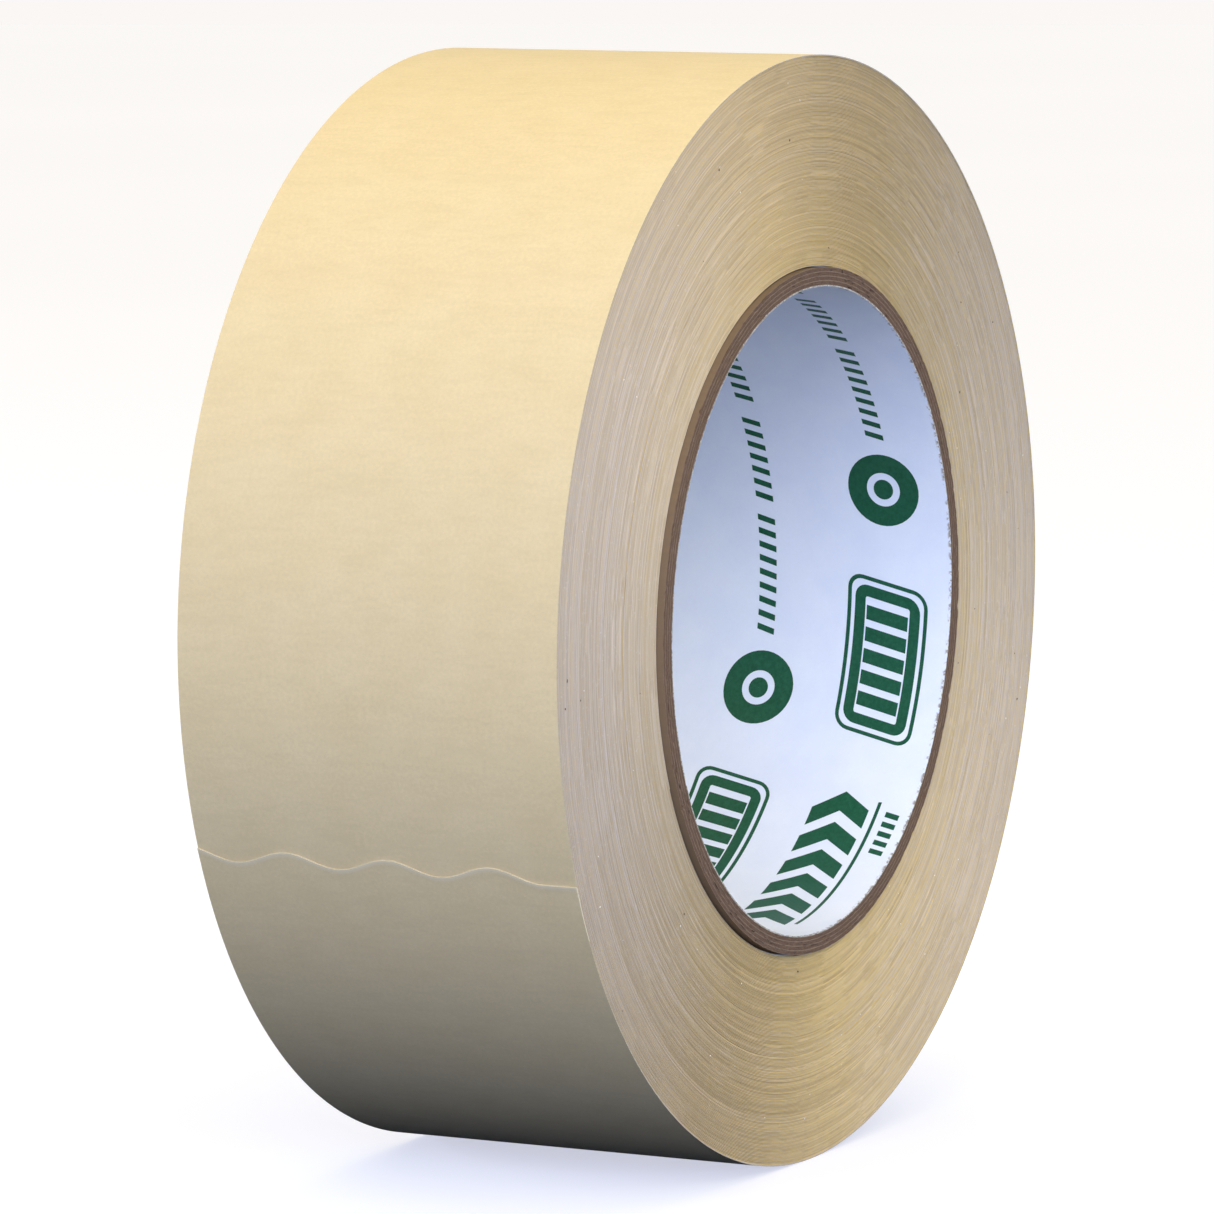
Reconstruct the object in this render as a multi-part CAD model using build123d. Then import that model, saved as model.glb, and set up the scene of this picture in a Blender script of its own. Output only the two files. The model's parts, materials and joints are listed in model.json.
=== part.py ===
from build123d import *
from math import ceil, cos, degrees, pi, radians, sin, sqrt
import os

# Masking tape roll, standing on its rim. Millimetres, +Z up.
# The origin is the middle of the core's bore, and the roll's axis is Y.

# Core: a printed paper liner and board plies, each a strip wound in a helix
BORE_DIAMETER = 76.2
LINER_THICKNESS = 0.15
PLY_THICKNESS = 0.525
PLY_COUNT = 4
CORE_LENGTH = 49.5
CORE_STRIP_WIDTH = 127.0
BUTT_GAP = 0.2
LINER_SEAM_ANGLE = 80.0
SEAM_STAGGER = 75.0

# Tape: crepe paper backing with a coat of adhesive on its inner side
ROLL_DIAMETER = 130.4
TAPE_WIDTH = 48.0
BACKING_THICKNESS = 0.125
ADHESIVE_THICKNESS = 0.025
END_ANGLE = 201.5

# Free end of the tape: links that peel off the roll, the last one with a wavy cut
LINK_COUNT = 3
LINK_LENGTH = 8.0
LINK_GAP = 0.02
LIFT_GAP = 0.02
TURN_GAP = 0.002
LAP_LENGTH = 3.0
WAVE_PITCH = 13.0
WAVE_HEIGHT = 1.7
WAVE_CREST_Y = -0.4

BORE_RADIUS = BORE_DIAMETER / 2
PLY_START_RADIUS = BORE_RADIUS + LINER_THICKNESS
CORE_RADIUS = PLY_START_RADIUS + PLY_COUNT * PLY_THICKNESS
ROLL_RADIUS = ROLL_DIAMETER / 2
TAPE_THICKNESS = BACKING_THICKNESS + ADHESIVE_THICKNESS
LINK_ANGLE = degrees(LINK_LENGTH / ROLL_RADIUS)
LINK_GAP_ANGLE = degrees(LINK_GAP / ROLL_RADIUS)
TAIL_ANGLE = LINK_COUNT * LINK_ANGLE
LAP_ANGLE = degrees(LAP_LENGTH / ROLL_RADIUS)
TURN_ARCS = 24
CUT = 5.0


def polar(radius, turn):
    """A point of the roll's side view, turn degrees from the tape's end as the strip winds in."""
    angle = radians(END_ANGLE + turn)
    return (radius * cos(angle), radius * sin(angle))


def spiral(start, stop, depth):
    """Arcs of a face of the strip, depth below its outer face, between two turn angles."""
    count = max(1, round(TURN_ARCS * (stop - start) / 360))
    step = (stop - start) / count
    arcs = []
    for index in range(count):
        turns = [start + step * (index + share) for share in (0, 0.5, 1)]
        radii = [ROLL_RADIUS - depth - TAPE_THICKNESS * turn / 360 for turn in turns]
        arcs.append(ThreePointArc(*[polar(radius, turn) for radius, turn in zip(radii, turns)]))
    return arcs


def across(section, length):
    """A side view made solid, length wide about the middle of the roll."""
    return extrude(Plane.XZ * section, length / 2, both=True)


def strip(start, stop, top, bottom):
    """A length of the tape between two turn angles and two depths below its outer face."""
    outer = spiral(start, stop, top)
    inner = spiral(start, stop, bottom)
    ends = [Line(outer[0] @ 0, inner[0] @ 0), Line(outer[-1] @ 1, inner[-1] @ 1)]
    return across(make_face(outer + inner + ends), TAPE_WIDTH)


def helical_slit(inner, outer, seam_angle):
    """The butt gap between turns of a core strip: a thin twisted bar, at seam_angle at the roll's middle."""
    radius = (inner + outer) / 2
    lead = CORE_STRIP_WIDTH / sqrt(1 - (CORE_STRIP_WIDTH / (2 * pi * radius)) ** 2)
    length = CORE_LENGTH + 2 * CUT
    twist = 360 * length / lead
    bar = Pos(X=radius) * Rectangle(2 * (outer - inner), BUTT_GAP)
    twisted = Solid.extrude_linear_with_rotation(bar.face(), (0, 0, 0), (0, 0, length), twist)
    return Rot(X=90) * Pos(Z=-length / 2) * Rot(Z=seam_angle - twist / 2) * twisted


def core_layer(inner, outer, seam_angle):
    """One strip of the core, wound round the layer below it."""
    layer = across(Circle(outer) - Circle(inner), CORE_LENGTH)
    return layer - helical_slit(inner, outer, seam_angle)


def tape_windings():
    """Every turn of the tape below the outermost one, with the step where that one goes under."""
    outer = spiral(LAP_ANGLE, LAP_ANGLE + 360, TAPE_THICKNESS + TURN_GAP)
    step = Line(outer[-1] @ 1, outer[0] @ 0)
    return across(make_face(outer + [step]) - Circle(CORE_RADIUS), TAPE_WIDTH)


def outer_turn(top, bottom):
    """The outermost turn, from where the free end leaves it to where it goes under that end."""
    return strip(TAIL_ANGLE, LAP_ANGLE + 360, top, bottom)


def wavy_cutter():
    """Everything past the wavy cut across the end of the tape."""
    point = polar(ROLL_RADIUS, 0)
    angle = radians(END_ANGLE)
    face_plane = Plane((point[0], 0, point[1]), x_dir=(0, 1, 0), z_dir=(cos(angle), 0, sin(angle)))
    reach = ceil(TAPE_WIDTH / WAVE_PITCH) + 1
    wave = []
    for half_wave in range(-reach, reach + 1):
        side = -1 if half_wave % 2 == 0 else 1
        wave.append((WAVE_CREST_Y + half_wave * WAVE_PITCH / 2, side * WAVE_HEIGHT / 2))
    edge = Spline(wave)
    far = [(wave[-1][0], -CUT), (wave[0][0], -CUT)]
    rest = Polyline([edge @ 1, *far, edge @ 0])
    return extrude(face_plane * make_face([edge, rest]), CUT, both=True)


def tail_link(index, top, bottom):
    """One link of the free end; the first is at the peel line and the last has the wavy cut."""
    stop = TAIL_ANGLE - index * LINK_ANGLE - LINK_GAP_ANGLE
    if index < LINK_COUNT - 1:
        return strip(stop + LINK_GAP_ANGLE - LINK_ANGLE, stop, top - LIFT_GAP, bottom - LIFT_GAP)
    return strip(-LAP_ANGLE, stop, top - LIFT_GAP, bottom - LIFT_GAP) - wavy_cutter()


def write(part, node):
    """One STEP file for one piece."""
    export_step(part, f"parts/{node}.step")


os.makedirs("parts", exist_ok=True)

write(core_layer(BORE_RADIUS, PLY_START_RADIUS, LINER_SEAM_ANGLE), "core_liner")
for ply in range(PLY_COUNT):
    ply_radius = PLY_START_RADIUS + ply * PLY_THICKNESS
    ply_seam = LINER_SEAM_ANGLE + (ply + 1) * SEAM_STAGGER
    write(core_layer(ply_radius, ply_radius + PLY_THICKNESS, ply_seam), f"core_ply_{ply + 1}")

write(tape_windings(), "tape_windings")
write(outer_turn(0, BACKING_THICKNESS), "outer_turn_backing")
write(outer_turn(BACKING_THICKNESS, TAPE_THICKNESS), "outer_turn_adhesive")
for link in range(LINK_COUNT):
    write(tail_link(link, 0, BACKING_THICKNESS), f"tape_end_backing_{link + 1}")
    write(tail_link(link, BACKING_THICKNESS, TAPE_THICKNESS), f"tape_end_adhesive_{link + 1}")

for link in range(LINK_COUNT):
    hinge_turn = TAIL_ANGLE - link * LINK_ANGLE
    hinge_radius = ROLL_RADIUS - TAPE_THICKNESS * hinge_turn / 360 + LIFT_GAP
    hinge = polar(hinge_radius, hinge_turn)
    print(f"tape end hinge {link + 1}: x {hinge[0]:.3f}, z {hinge[1]:.3f}")
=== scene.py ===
import json
from math import atan2, cos, degrees, floor, hypot, pi, radians, sin, sqrt

import bmesh
import bpy
import numpy as np
from mathutils import Matrix, Vector


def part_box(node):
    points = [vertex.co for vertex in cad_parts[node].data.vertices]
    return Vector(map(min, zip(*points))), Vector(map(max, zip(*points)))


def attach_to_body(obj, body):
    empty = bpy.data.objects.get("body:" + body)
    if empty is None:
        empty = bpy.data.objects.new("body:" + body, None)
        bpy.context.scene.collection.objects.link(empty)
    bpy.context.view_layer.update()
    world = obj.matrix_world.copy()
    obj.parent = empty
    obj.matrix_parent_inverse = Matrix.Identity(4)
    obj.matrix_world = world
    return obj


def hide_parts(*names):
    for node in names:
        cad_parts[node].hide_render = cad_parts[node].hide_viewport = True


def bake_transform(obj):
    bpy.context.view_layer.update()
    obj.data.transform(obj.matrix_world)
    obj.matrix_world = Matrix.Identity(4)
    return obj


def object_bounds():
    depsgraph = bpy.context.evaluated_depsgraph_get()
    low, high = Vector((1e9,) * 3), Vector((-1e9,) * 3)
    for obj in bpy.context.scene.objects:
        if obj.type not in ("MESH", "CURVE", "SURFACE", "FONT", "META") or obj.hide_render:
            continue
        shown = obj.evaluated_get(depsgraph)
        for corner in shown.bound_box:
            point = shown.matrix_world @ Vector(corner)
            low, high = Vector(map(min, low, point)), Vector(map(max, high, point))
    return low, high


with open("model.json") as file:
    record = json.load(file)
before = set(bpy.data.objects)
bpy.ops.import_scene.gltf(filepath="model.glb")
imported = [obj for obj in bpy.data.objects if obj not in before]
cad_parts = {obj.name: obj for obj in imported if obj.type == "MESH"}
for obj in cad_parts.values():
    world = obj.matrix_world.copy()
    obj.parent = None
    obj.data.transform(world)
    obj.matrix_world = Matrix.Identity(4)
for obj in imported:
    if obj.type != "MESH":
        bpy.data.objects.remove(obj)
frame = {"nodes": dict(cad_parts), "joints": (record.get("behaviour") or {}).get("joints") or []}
cad_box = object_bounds()

# Masking tape roll on its rim. Shapes are worked out in millimetres and written in metres.
# The roll's axis is Y. An angle is measured round it from +X towards +Z, in degrees, and a
# turn angle is counted from the tape's cut end, the way the strip winds in.
MM = 0.001


def node_radii(node):
    """The least and greatest distance of a CAD node from the roll's axis, in millimetres."""
    reach = [hypot(vertex.co.x, vertex.co.z) / MM for vertex in frame["nodes"][node].data.vertices]
    return min(reach), max(reach)


def hinge_place(joint):
    """A hinge of the free end, as its angle and its distance from the axis."""
    x, _, z = joint["pos_m"]
    return degrees(atan2(z, x)) % 360, hypot(x, z) / MM


# Sizes taken from the CAD frame
HINGES = [hinge_place(joint) for joint in frame["joints"]]
LINK_COUNT = len(HINGES)
LINK_ANGLE = HINGES[0][0] - HINGES[1][0]
TAIL_ANGLE = LINK_COUNT * LINK_ANGLE
END_ANGLE = HINGES[0][0] - TAIL_ANGLE
BORE_RADIUS, PAPER_RADIUS = node_radii("core_liner")
PLY_NODES = sorted(node for node in frame["nodes"] if node.startswith("core_ply"))
PLY_RADII = [node_radii(node) for node in PLY_NODES]
CORE_RADIUS = PLY_RADII[-1][1]
CORE_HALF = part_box("core_liner")[1].y / MM
TAPE_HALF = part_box("tape_windings")[1].y / MM
FLOOR_Z = cad_box[0][2] / MM

# The strip of tape
BACKING_THICKNESS = 0.125
TAPE_THICKNESS = 0.15
TURN_GAP = 0.002
LAP_LENGTH = 3.0
ROLL_RADIUS = node_radii("outer_turn_backing")[1] + TAPE_THICKNESS * TAIL_ANGLE / 360
LAP_ANGLE = degrees(LAP_LENGTH / ROLL_RADIUS)
WINDINGS_RADIUS = ROLL_RADIUS - TAPE_THICKNESS - TURN_GAP
WAVE_PITCH = 13.0
WAVE_HEIGHT = 1.7
WAVE_CREST_Y = -0.4

# The core's strips
CORE_STRIP_WIDTH = 127.0
BUTT_GAP = 0.2
LINER_SEAM_ANGLE = 80.0
SEAM_STAGGER = 75.0

NOISE_CELLS = 512


# ---------------------------------------------------------------- shape helpers

def smooth(share):
    """Eases a share from 0 to 1."""
    return share * share * (3 - 2 * share)


def value_noise(across, along, seed):
    """Smooth noise from 0 to 1, with one random value for each unit cell of a plane."""
    across, along = np.broadcast_arrays(across, along)
    table = np.random.default_rng(seed).random((NOISE_CELLS, NOISE_CELLS))
    row, column = np.floor(across).astype(int), np.floor(along).astype(int)
    a, b = smooth(across - row), smooth(along - column)
    row, column = row % NOISE_CELLS, column % NOISE_CELLS
    next_row, next_column = (row + 1) % NOISE_CELLS, (column + 1) % NOISE_CELLS
    near = table[row, column] * (1 - b) + table[row, next_column] * b
    far = table[next_row, column] * (1 - b) + table[next_row, next_column] * b
    return near * (1 - a) + far * a


def round_axis(radius, angle, y):
    """Points at a distance and an angle round the roll's axis; the three may be arrays."""
    radius, angle, y = np.broadcast_arrays(radius, np.radians(angle), y)
    return np.stack([radius * np.cos(angle), y, radius * np.sin(angle)], -1)


def on_strip(turn, depth, y):
    """Points of the wound strip, depth below its outer face, at a turn angle."""
    return round_axis(ROLL_RADIUS - depth - TAPE_THICKNESS * turn / 360, END_ANGLE + turn, y)


def cut_turn(y):
    """The turn angle of the wavy cut across the tape's end, which runs out straight at the front."""
    last_trough = WAVE_CREST_Y - 1.5 * WAVE_PITCH
    wave = -WAVE_HEIGHT / 2 * np.cos(2 * pi * (np.maximum(y, last_trough) - WAVE_CREST_Y) / WAVE_PITCH)
    return np.degrees(wave / ROLL_RADIUS)


def quads(a, b, c, d):
    """Faces from four equal arrays of vertex numbers."""
    return np.stack([a, b, c, d], -1).reshape(-1, 4).tolist()


def grid_quads(numbers):
    """The faces of a grid of vertex numbers."""
    return quads(numbers[:-1, :-1], numbers[1:, :-1], numbers[1:, 1:], numbers[:-1, 1:])


class Shape:
    """Gathers the points, faces and attribute values of one mesh piece."""

    def __init__(self):
        self.points, self.faces, self.kinds, self.soft, self.values = [], [], [], [], []
        self.count = 0

    def add_points(self, points, **values):
        """Adds points with their attribute values, and gives their numbers in the same layout."""
        numbers = np.arange(self.count, self.count + points[..., 0].size).reshape(points.shape[:-1])
        self.points.append(points.reshape(-1, 3))
        flat = {name: np.broadcast_to(value, numbers.shape).ravel() for name, value in values.items()}
        self.values.append((numbers.ravel(), flat))
        self.count += numbers.size
        return numbers

    def add_faces(self, faces, kind=0, soft=False):
        """Adds faces of one material; soft ones are shaded smooth."""
        self.faces += faces
        self.kinds += [kind] * len(faces)
        self.soft += [soft] * len(faces)

    def add_slab(self, top, bottom, kinds=(0, 0, 0), soft=True, **values):
        """A closed shell between two grids of points; top, bottom and sides have their materials."""
        upper = self.add_points(top, **values)
        lower = self.add_points(bottom, **values)
        self.add_shell(upper, lower, kinds, soft)
        for high, low in ((upper[0], lower[0]), (upper[-1][::-1], lower[-1][::-1])):
            self.add_faces(quads(high[:-1], high[1:], low[1:], low[:-1]), kinds[2])

    def add_loop(self, top, bottom, kinds=(0, 0, 0), soft=True, **values):
        """A slab whose last row meets its first."""
        upper = self.add_points(top, **values)
        lower = self.add_points(bottom, **values)
        self.add_shell(*[np.concatenate([rows, rows[:1]]) for rows in (upper, lower)], kinds, soft)

    def add_shell(self, upper, lower, kinds, soft):
        """The faces of a slab but for those at its first and last rows."""
        self.add_faces(grid_quads(upper), kinds[0], soft)
        self.add_faces(grid_quads(lower[::-1]), kinds[1], soft)
        for high, low in ((upper[::-1, 0], lower[::-1, 0]), (upper[:, -1], lower[:, -1])):
            self.add_faces(quads(high[:-1], high[1:], low[1:], low[:-1]), kinds[2])

    def make(self, name, *materials):
        """Makes the object, with its faces turned outwards."""
        mesh = bpy.data.meshes.new(name)
        mesh.from_pydata((np.concatenate(self.points) * MM).tolist(), [], self.faces)
        mesh.polygons.foreach_set("material_index", self.kinds)
        mesh.polygons.foreach_set("use_smooth", self.soft)
        for value_name in sorted({value_name for _, flat in self.values for value_name in flat}):
            values = np.zeros(self.count, np.float32)
            for numbers, flat in self.values:
                values[numbers] = flat.get(value_name, 0)
            mesh.attributes.new(value_name, "FLOAT", "POINT").data.foreach_set("value", values)
        solid = bmesh.new()
        solid.from_mesh(mesh)
        bmesh.ops.recalc_face_normals(solid, faces=solid.faces)
        for edge in solid.edges:
            edge.smooth = all(face.smooth for face in edge.link_faces)
        solid.to_mesh(mesh)
        solid.free()
        for material in materials:
            mesh.materials.append(material)
        piece = bpy.data.objects.new(name, mesh)
        bpy.context.scene.collection.objects.link(piece)
        return piece


# ---------------------------------------------------------------- materials

# Values kept at a mesh's points for the materials: along and across place a point on the flat strip,
# in millimetres; crinkle and torn describe the crepe's face, crinkle also giving painted shade
# in its valleys and torn a pale band by the cut that is partly whitened fibres and partly a painted
# highlight;
# turn and groove, an edge in the pack; deep, how far through its ply a point of the core is

class Nodes:
    """A material's node tree, built a node at a time round its Principled shader."""

    def __init__(self, name, roughness, **sockets):
        self.material = bpy.data.materials.new(name)
        self.material.use_nodes = True
        self.tree = self.material.node_tree
        self.shader = self.tree.nodes["Principled BSDF"]
        self.shader.inputs["Roughness"].default_value = roughness
        for socket, value in sockets.items():
            self.shader.inputs[socket.replace("_", " ")].default_value = value

    def node(self, kind, inputs=(), **settings):
        """Adds a node; each input is a value or another node's socket."""
        node = self.tree.nodes.new(kind)
        for setting, value in settings.items():
            setattr(node, setting, value)
        for socket, value in dict(inputs).items():
            if isinstance(value, bpy.types.NodeSocket):
                self.tree.links.new(value, node.inputs[socket])
            else:
                node.inputs[socket].default_value = value
        return node

    def attribute(self, name):
        """A value kept at each point of the mesh."""
        return self.node("ShaderNodeAttribute", attribute_name=name).outputs["Fac"]

    def place(self, scale=1.0):
        """Positions in millimetres, times a scale."""
        coordinates = self.node("ShaderNodeTexCoord").outputs["Object"]
        inputs = {0: coordinates, 1: [scale / MM] * 3}
        return self.node("ShaderNodeVectorMath", inputs, operation="MULTIPLY").outputs[0]

    def vector(self, x, y=0.0, z=0.0):
        """A vector from three values."""
        return self.node("ShaderNodeCombineXYZ", {"X": x, "Y": y, "Z": z}).outputs[0]

    def maths(self, operation, a, b=0.0):
        """One sum on one or two values."""
        return self.node("ShaderNodeMath", {0: a, 1: b}, operation=operation).outputs[0]

    def noise(self, vector, scale=1.0, detail=2.0, roughness=0.5):
        """Soft noise from 0 to 1, mostly near a half."""
        inputs = {"Vector": vector, "Scale": scale, "Detail": detail, "Roughness": roughness}
        return self.node("ShaderNodeTexNoise", inputs).outputs["Fac"]

    def spread(self, value, low, high, to_low=0.0, to_high=1.0):
        """Maps low to high on to to_low to to_high, and clamps."""
        inputs = {"Value": value, "From Min": low, "From Max": high, "To Min": to_low, "To Max": to_high}
        return self.node("ShaderNodeMapRange", inputs).outputs[0]

    def mix(self, share, first, second, blend="MIX"):
        """Mixes two colours; each is three numbers or another node's socket."""
        first, second = [(*colour, 1) if isinstance(colour, tuple) else colour for colour in (first, second)]
        inputs = {0: share, 6: first, 7: second}
        return self.node("ShaderNodeMix", inputs, data_type="RGBA", blend_type=blend).outputs[2]

    def paint(self, value, low, high, first, second):
        """Colours the surface, from the first colour to the second as a value goes from low to high."""
        self.link(self.mix(self.spread(value, low, high), first, second), "Base Color")

    def bump(self, height, distance):
        """Bumps the surface by a height; the distance is in millimetres."""
        inputs = {"Height": height, "Distance": distance * MM}
        self.link(self.node("ShaderNodeBump", inputs).outputs[0], "Normal")

    def link(self, output, socket):
        """Feeds one of the shader's sockets."""
        self.tree.links.new(output, self.shader.inputs[socket])


def strip_place(nodes, stretch_along=1.0, stretch_across=1.0):
    """Positions on the flat strip in millimetres, which stay put when the strip bends."""
    along = nodes.maths("MULTIPLY", nodes.attribute("along"), stretch_along)
    across = nodes.maths("MULTIPLY", nodes.attribute("across"), stretch_across)
    return nodes.vector(along, across)


def crepe_paper():
    """Saturated crepe paper: cream, mat, faintly mottled, with painted shade in the crinkles' valleys, and
    pale where it is torn: whitened fibres with a painted highlight along the cut.
    """
    nodes = Nodes("crepe_paper", 0.75, Sheen_Weight=0.06, Sheen_Roughness=0.5, Specular_IOR_Level=0.3)
    clouds = nodes.noise(strip_place(nodes), 0.16, 4)
    fibres = nodes.noise(strip_place(nodes, 2.6, 1.9), 1.0, 4, 0.75)
    colour = nodes.mix(nodes.spread(clouds, 0.35, 0.65), (0.765, 0.620, 0.402), (0.785, 0.642, 0.426))
    tint = nodes.mix(nodes.spread(fibres, 0.36, 0.64), (0.925, 0.925, 0.918), (1.0, 1.0, 1.0))
    colour = nodes.mix(1.0, colour, tint, "MULTIPLY")
    # Painted shade: the crinkles' valleys are coloured darker, as if shaded.
    painted_crease_shade = nodes.spread(nodes.attribute("crinkle"), 0.25, 0.6, 0.12, 0.0)
    colour = nodes.mix(painted_crease_shade, colour, (0.54, 0.43, 0.27))
    # Painted highlight, in part: the torn zone by the cut is coloured pale, for its whitened fibres and also
    # as a highlight along the cut.
    torn = nodes.spread(nodes.attribute("torn"), 0.15, 0.9, 0.0, 0.68)
    nodes.link(nodes.mix(torn, colour, (0.88, 0.78, 0.63)), "Base Color")
    grain = nodes.noise(strip_place(nodes, 4.0, 3.0), 1.0, 4, 0.7)
    nodes.bump(grain, 0.008)
    nodes.link(nodes.spread(fibres, 0.3, 0.7, 0.68, 0.82), "Roughness")
    return nodes.material


def tape_edge():
    """The slit edges of the wound tape: pale paper, and golden adhesive down in the grooves."""
    nodes = Nodes("tape_edge", 0.75, Specular_IOR_Level=0.3)
    turn, groove = nodes.attribute("turn"), nodes.attribute("groove")
    patches = nodes.noise(nodes.place(), 0.09, 3)
    fade = nodes.maths("MULTIPLY", patches, 3.5)
    bands = nodes.noise(nodes.vector(nodes.maths("MULTIPLY", turn, 0.21), fade), 1.0, 2)
    lines = nodes.noise(nodes.vector(nodes.maths("MULTIPLY", turn, 0.75), fade, 3.0), 1.0, 3, 0.7)
    paper = nodes.mix(nodes.spread(lines, 0.32, 0.68), (0.322, 0.264, 0.224), (0.585, 0.520, 0.500))
    paper = nodes.mix(nodes.spread(bands, 0.38, 0.62, 0.0, 0.45), paper, (0.360, 0.295, 0.230))
    calm = nodes.spread(turn, 15.0, 80.0, 0.45, 0.0)
    paper = nodes.mix(calm, paper, (0.438, 0.375, 0.338))
    inner = nodes.spread(turn, 70.0, 165.0, 0.0, 0.35)
    paper = nodes.mix(inner, paper, (0.480, 0.370, 0.200))
    specks = nodes.noise(nodes.place(2.2), 1.0, 3, 0.7)
    paper = nodes.mix(nodes.spread(specks, 0.60, 0.74, 0.0, 0.4), paper, (0.66, 0.62, 0.59))
    glue = nodes.mix(nodes.spread(lines, 0.35, 0.65), (0.420, 0.272, 0.034), (0.665, 0.455, 0.078))
    nodes.link(nodes.mix(nodes.spread(groove, 0.25, 0.60), paper, glue), "Base Color")
    nodes.link(nodes.spread(groove, 0.2, 0.9, 0.75, 0.5), "Roughness")
    nodes.bump(specks, 0.01)
    return nodes.material


def strip_edge():
    """The side of the outermost turn, where single edges of paper show."""
    nodes = Nodes("strip_edge", 0.75)
    fuzz = nodes.noise(nodes.place(4.0), 1.0, 3, 0.7)
    nodes.paint(fuzz, 0.35, 0.65, (0.31, 0.24, 0.18), (0.43, 0.36, 0.28))
    nodes.bump(fuzz, 0.01)
    return nodes.material


def cut_edge():
    """The cut across the tape's end: torn pale fibres."""
    nodes = Nodes("cut_edge", 0.8, Sheen_Weight=0.2, Sheen_Roughness=0.5)
    fuzz = nodes.noise(strip_place(nodes, 6, 6), 1.0, 3, 0.7)
    nodes.paint(fuzz, 0.3, 0.7, (0.58, 0.49, 0.36), (0.70, 0.61, 0.47))
    nodes.bump(fuzz, 0.01)
    return nodes.material


def adhesive():
    """Rubber adhesive coat: honey coloured, shiny, with fine rope marks from the peel."""
    nodes = Nodes("adhesive", 0.34, Coat_Weight=0.3, Coat_Roughness=0.2)
    streaks = nodes.noise(strip_place(nodes, 2.4, 0.5), 1.0, 4, 0.6)
    nodes.paint(streaks, 0.3, 0.7, (0.52, 0.39, 0.17), (0.62, 0.50, 0.27))
    nodes.link(nodes.spread(streaks, 0.3, 0.7, 0.28, 0.45), "Roughness")
    nodes.bump(streaks, 0.02)
    return nodes.material


def kraft_board():
    """Kraft board: brown and fibrous, with paler glue lines where one ply meets the next."""
    nodes = Nodes("core_board", 0.9, Specular_IOR_Level=0.15)
    along, deep = nodes.attribute("along"), nodes.attribute("deep")
    layer_place = nodes.vector(nodes.maths("MULTIPLY", along, 0.9), nodes.maths("MULTIPLY", deep, 7.0))
    layers = nodes.noise(layer_place, 1.0, 4, 0.6)
    fibres = nodes.noise(nodes.place(3.5), 1.0, 4, 0.75)
    board = nodes.mix(nodes.spread(layers, 0.3, 0.7), (0.080, 0.045, 0.029), (0.152, 0.092, 0.060))
    board = nodes.mix(nodes.spread(fibres, 0.55, 0.75, 0.0, 0.6), board, (0.215, 0.150, 0.105))
    board = nodes.mix(nodes.spread(fibres, 0.42, 0.30, 0.0, 0.5), board, (0.045, 0.026, 0.016))
    from_middle = nodes.maths("ABSOLUTE", nodes.maths("SUBTRACT", deep, 0.5))
    glue_line = nodes.spread(from_middle, 0.36, 0.5, 0.0, 0.75)
    nodes.link(nodes.mix(glue_line, board, (0.26, 0.185, 0.125)), "Base Color")
    nodes.bump(fibres, 0.05)
    return nodes.material


# Distances from a cut rim of the liner where the fraying starts and where it is full
FRAY_START = 0.45
FRAY_FULL = 0.10


def frayed_rim(nodes):
    """Where board fibres show through the liner, in specks along its two cut rims."""
    y = nodes.node("ShaderNodeSeparateXYZ", {0: nodes.place()}).outputs["Y"]
    near = nodes.spread(nodes.maths("ABSOLUTE", y), CORE_HALF - FRAY_START, CORE_HALF - FRAY_FULL)
    specks = nodes.noise(nodes.place(1.6), 1.0, 2, 0.6)
    return nodes.maths("MULTIPLY", near, nodes.spread(specks, 0.50, 0.58, 0.0, 0.9))


def liner_paper():
    """Coated white paper: faintly blue, calendered, with a little cloudiness."""
    nodes = Nodes("liner_paper", 0.5, Sheen_Weight=0.05, Sheen_Roughness=0.5)
    clouds = nodes.noise(nodes.place(), 0.22, 4)
    fibres = nodes.noise(nodes.place(2.6), 1.0, 4, 0.7)
    paper = nodes.mix(nodes.spread(clouds, 0.35, 0.65), (0.745, 0.785, 0.955), (0.785, 0.820, 0.970))
    paper = nodes.mix(nodes.spread(fibres, 0.35, 0.7, 0.10, 0.0), paper, (0.58, 0.63, 0.76))
    nodes.link(nodes.mix(frayed_rim(nodes), paper, (0.21, 0.155, 0.12)), "Base Color")
    nodes.link(nodes.spread(fibres, 0.3, 0.7, 0.44, 0.56), "Roughness")
    nodes.bump(fibres, 0.008)
    return nodes.material


def liner_edge():
    """The rough cut edge of the liner, where the board's fibres come through."""
    nodes = Nodes("liner_edge", 0.85)
    fibres = nodes.noise(nodes.place(3.0), 1.0, 4, 0.7)
    nodes.paint(fibres, 0.4, 0.6, (0.17, 0.14, 0.11), (0.52, 0.49, 0.43))
    nodes.bump(fibres, 0.03)
    return nodes.material


def print_ink():
    """Dark green ink, slightly uneven where the paper took less of it."""
    nodes = Nodes("print_ink", 0.5, Specular_IOR_Level=0.25)
    mottle = nodes.noise(nodes.place(1.8), 1.0, 4, 0.7)
    nodes.paint(mottle, 0.35, 0.7, (0.006, 0.072, 0.036), (0.014, 0.105, 0.056))
    nodes.link(nodes.spread(mottle, 0.3, 0.7, 0.36, 0.5), "Roughness")
    nodes.bump(mottle, 0.003)
    return nodes.material


def dust(name, low, high, roughness):
    """Specks caught on the roll's sides."""
    nodes = Nodes(name, roughness)
    mottle = nodes.noise(nodes.place(5.0), 1.0, 2)
    nodes.paint(mottle, 0.3, 0.7, low, high)
    nodes.bump(mottle, 0.01)
    return nodes.material


def floor_paint():
    """Pale, even studio floor."""
    nodes = Nodes("floor_paint", 0.9, Specular_IOR_Level=0.1,
                  Emission_Color=(0.56, 0.57, 0.67, 1), Emission_Strength=1.0)
    clouds = nodes.noise(nodes.place(0.002), 1.0, 3)
    nodes.paint(clouds, 0.3, 0.7, (0.46, 0.465, 0.48), (0.475, 0.48, 0.495))
    return nodes.material


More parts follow.
